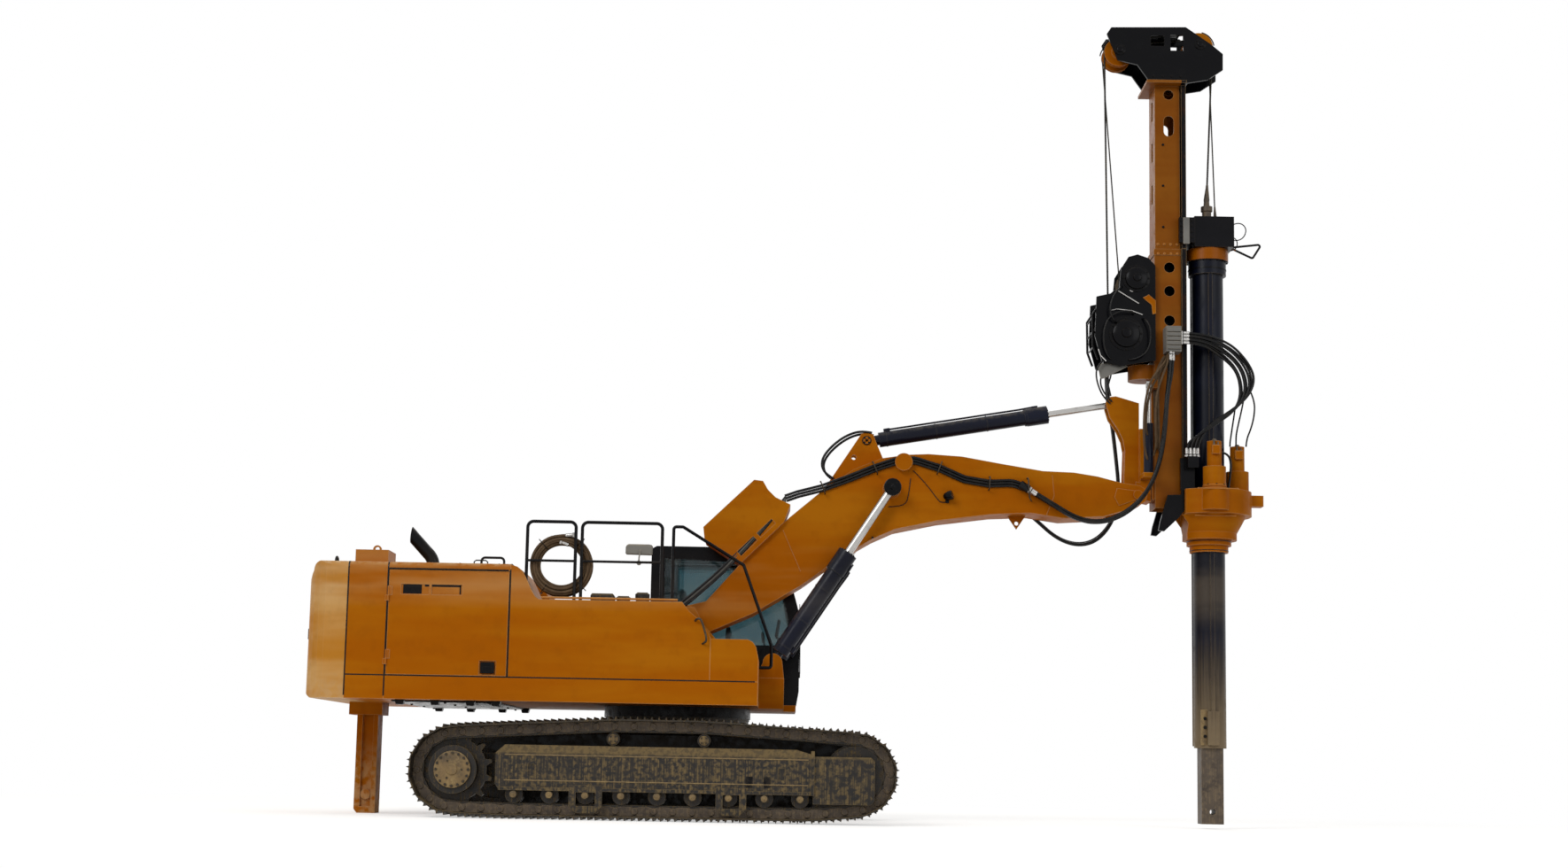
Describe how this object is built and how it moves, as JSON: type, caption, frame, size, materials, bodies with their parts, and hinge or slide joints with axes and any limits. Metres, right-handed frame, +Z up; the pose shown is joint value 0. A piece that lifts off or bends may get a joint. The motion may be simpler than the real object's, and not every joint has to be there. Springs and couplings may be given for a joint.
{
  "type": "crawler drilling rig",
  "caption": "Crawler drilling rig: tracked carrier with cab, gooseneck boom, tilting mast with winch, rotary drive and telescopic drill rod, and a rear support leg.",
  "frame": {"origin": "On the ground, on the slewing axis.", "axes": "+X forward (from the counterweight to the mast), +Y the machine's left, +Z up."},
  "size_m": [10.125, 3.19, 8.833],
  "materials": {
    "orange_paint": "semi-gloss",
    "black_paint": "semi-gloss",
    "navy_paint": "semi-gloss",
    "dusty_steel": "matte, dusty",
    "worn_steel": "worn",
    "rod_chrome": "polished",
    "grey_paint": "semi-gloss",
    "cab_glass": "clear",
    "seat_fabric": "woven",
    "engine_paint": "matte",
    "hose_rubber": "matte",
    "dusty_hose": "matte, dusty"
  },
  "bodies": {
    "undercarriage": {"carbody": "dusty_steel", "track_frames": "dusty_steel", "track_right": "dusty_steel", "track_left": "dusty_steel", "sprockets": "dusty_steel", "idlers": "dusty_steel", "track_rollers": "dusty_steel", "carrier_rollers": "dusty_steel", "slew_ring_lower": "dusty_steel"},
    "upper_structure": {"slew_ring_upper": "black_paint", "upper_frame": "orange_paint", "counterweight": "orange_paint", "leg_housing": "orange_paint", "engine_hood": "orange_paint", "engine_block": "engine_paint", "exhaust": "black_paint", "tank_body": "orange_paint", "front_toolbox": "orange_paint", "left_side_body": "orange_paint", "handrails": "black_paint", "hose_hank": "dusty_hose", "cab_shell": "black_paint", "cab_glass": "cab_glass", "operator_seat": "seat_fabric"},
    "hood_door_right": {"hood_door_right": "orange_paint"},
    "hood_door_left": {"hood_door_left": "orange_paint"},
    "cab_door": {"cab_door": "black_paint", "cab_door_glass": "cab_glass"},
    "rear_leg": {"rear_leg": "orange_paint"},
    "boom": {"boom": "orange_paint", "boom_guard": "orange_paint", "boom_hoses": "hose_rubber", "mast_feed_hoses": "hose_rubber", "winch_feed_hoses": "hose_rubber"},
    "lift_barrels": {"lift_cylinder_barrels": "navy_paint"},
    "lift_rods": {"lift_cylinder_rods": "rod_chrome"},
    "tilt_barrel": {"tilt_cylinder_barrel": "navy_paint"},
    "tilt_rod": {"tilt_cylinder_rod": "rod_chrome"},
    "cradle": {"cradle": "orange_paint", "side_tilt_barrel": "navy_paint"},
    "side_tilt_rod": {"side_tilt_rod": "rod_chrome"},
    "mast": {"mast_lower": "orange_paint", "mast_upper": "orange_paint", "mast_head": "black_paint", "winch_frame": "black_paint", "manifold_block": "grey_paint", "rotary_feed_hoses": "hose_rubber"},
    "main_rear_sheave": {"main_rear_sheave": "orange_paint"},
    "main_front_sheave": {"main_front_sheave": "orange_paint"},
    "aux_rear_sheave": {"aux_rear_sheave": "orange_paint"},
    "aux_front_sheave": {"aux_front_sheave": "orange_paint"},
    "main_winch_drum": {"main_winch_drum": "worn_steel"},
    "aux_winch_drum": {"aux_winch_drum": "worn_steel"},
    "rotary": {"rotary_carriage": "black_paint", "rotary_gearcase": "orange_paint", "rotary_motors": "orange_paint"},
    "rotary_sleeve": {"rotary_sleeve": "orange_paint"},
    "kelly_guide": {"kelly_guide": "black_paint"},
    "kelly_outer": {"kelly_outer": "navy_paint"},
    "kelly_inner": {"kelly_inner": "worn_steel"}
  },
  "joints": [
    {"name": "slew", "type": "hinge", "parent": "undercarriage", "child": "upper_structure", "pos_m": [0, 0, 1.12], "axis": [0, 0, 1], "continuous": true},
    {"name": "boom_lift", "type": "hinge", "parent": "upper_structure", "child": "boom", "pos_m": [0.072, 0, 2.13], "axis": [0, -1, 0], "range_deg": [-33, 12]},
    {"name": "lift_cylinder_swing", "type": "hinge", "parent": "upper_structure", "child": "lift_barrels", "pos_m": [1.014, 0, 1.658], "axis": [0, -1, 0], "range_deg": [-40, 15]},
    {"name": "lift_cylinder_stroke", "type": "slide", "parent": "lift_barrels", "child": "lift_rods", "axis": [0.5477, 0, 0.8367], "range_m": [-0.6, 0.24]},
    {"name": "tilt_cylinder_swing", "type": "hinge", "parent": "boom", "child": "tilt_barrel", "pos_m": [1.993, 0, 4.119], "axis": [0, 1, 0], "range_deg": [-3, 3]},
    {"name": "tilt_cylinder_stroke", "type": "slide", "parent": "tilt_barrel", "child": "tilt_rod", "axis": [0.9854, 0, 0.1701], "range_m": [-0.46, 0.56]},
    {"name": "mast_tilt", "type": "hinge", "parent": "boom", "child": "cradle", "pos_m": [4.925, 0, 3.559], "axis": [0, 1, 0], "range_deg": [-25, 30], "deforming": ["mast_feed_hoses", "winch_feed_hoses"]},
    {"name": "mast_side_tilt", "type": "hinge", "parent": "cradle", "child": "mast", "pos_m": [5.13, 0, 4], "axis": [1, 0, 0], "range_deg": [-5, 5]},
    {"name": "side_tilt_stroke", "type": "slide", "parent": "cradle", "child": "side_tilt_rod", "axis": [0, 0, 1], "range_m": [-0.04, 0.04]},
    {"name": "main_rear_sheave_spin", "type": "hinge", "parent": "mast", "child": "main_rear_sheave", "pos_m": [4.745, -0.095, 8.56], "axis": [0, 1, 0], "continuous": true},
    {"name": "main_front_sheave_spin", "type": "hinge", "parent": "mast", "child": "main_front_sheave", "pos_m": [5.64, -0.095, 8.64], "axis": [0, 1, 0], "continuous": true},
    {"name": "aux_rear_sheave_spin", "type": "hinge", "parent": "mast", "child": "aux_rear_sheave", "pos_m": [4.745, 0.095, 8.56], "axis": [0, 1, 0], "continuous": true},
    {"name": "aux_front_sheave_spin", "type": "hinge", "parent": "mast", "child": "aux_front_sheave", "pos_m": [5.64, 0.095, 8.64], "axis": [0, 1, 0], "continuous": true},
    {"name": "main_winch_spin", "type": "hinge", "parent": "mast", "child": "main_winch_drum", "pos_m": [4.8, 0, 5.33], "axis": [0, 1, 0], "continuous": true},
    {"name": "aux_winch_spin", "type": "hinge", "parent": "mast", "child": "aux_winch_drum", "pos_m": [4.915, 0, 5.95], "axis": [0, 1, 0], "continuous": true},
    {"name": "rotary_crowd", "type": "slide", "parent": "mast", "child": "rotary", "axis": [0, 0, 1], "range_m": [0, 1], "deforming": ["rotary_feed_hoses"]},
    {"name": "sleeve_spin", "type": "hinge", "parent": "rotary", "child": "rotary_sleeve", "pos_m": [5.74, 0, 3.3], "axis": [0, 0, 1], "continuous": true},
    {"name": "kelly_hoist", "type": "slide", "parent": "mast", "child": "kelly_guide", "axis": [0, 0, 1], "range_m": [-1.8, 1.3]},
    {"name": "kelly_spin", "type": "hinge", "parent": "kelly_guide", "child": "kelly_outer", "pos_m": [5.74, 0, 6.1], "axis": [0, 0, 1], "continuous": true},
    {"name": "kelly_extend", "type": "slide", "parent": "kelly_outer", "child": "kelly_inner", "axis": [0, 0, 1], "range_m": [-4, 0]},
    {"name": "hood_door_right_swing", "type": "hinge", "parent": "upper_structure", "child": "hood_door_right", "pos_m": [-2.898, -1.5, 1.95], "axis": [0, 0, -1], "range_deg": [0, 100]},
    {"name": "hood_door_left_swing", "type": "hinge", "parent": "upper_structure", "child": "hood_door_left", "pos_m": [-2.898, 1.5, 1.95], "axis": [0, 0, 1], "range_deg": [0, 100]},
    {"name": "cab_door_swing", "type": "hinge", "parent": "upper_structure", "child": "cab_door", "pos_m": [-0.15, 1.49, 2.1], "axis": [0, 0, 1], "range_deg": [0, 100]},
    {"name": "rear_leg_lift", "type": "slide", "parent": "upper_structure", "child": "rear_leg", "axis": [0, 0, 1], "range_m": [0, 0.9]}
  ],
  "couplings": [
    {"joint": "lift_cylinder_swing", "follows": "boom_lift", "ratio": 1.1563},
    {"joint": "lift_cylinder_stroke", "follows": "boom_lift", "m_per_rad": 0.9703},
    {"joint": "tilt_cylinder_swing", "follows": "mast_tilt", "ratio": -0.0028},
    {"joint": "tilt_cylinder_stroke", "follows": "mast_tilt", "m_per_rad": 1.0066},
    {"joint": "side_tilt_stroke", "follows": "mast_side_tilt", "m_per_rad": -0.33},
    {"joint": "sleeve_spin", "follows": "kelly_spin", "ratio": 1}
  ]
}
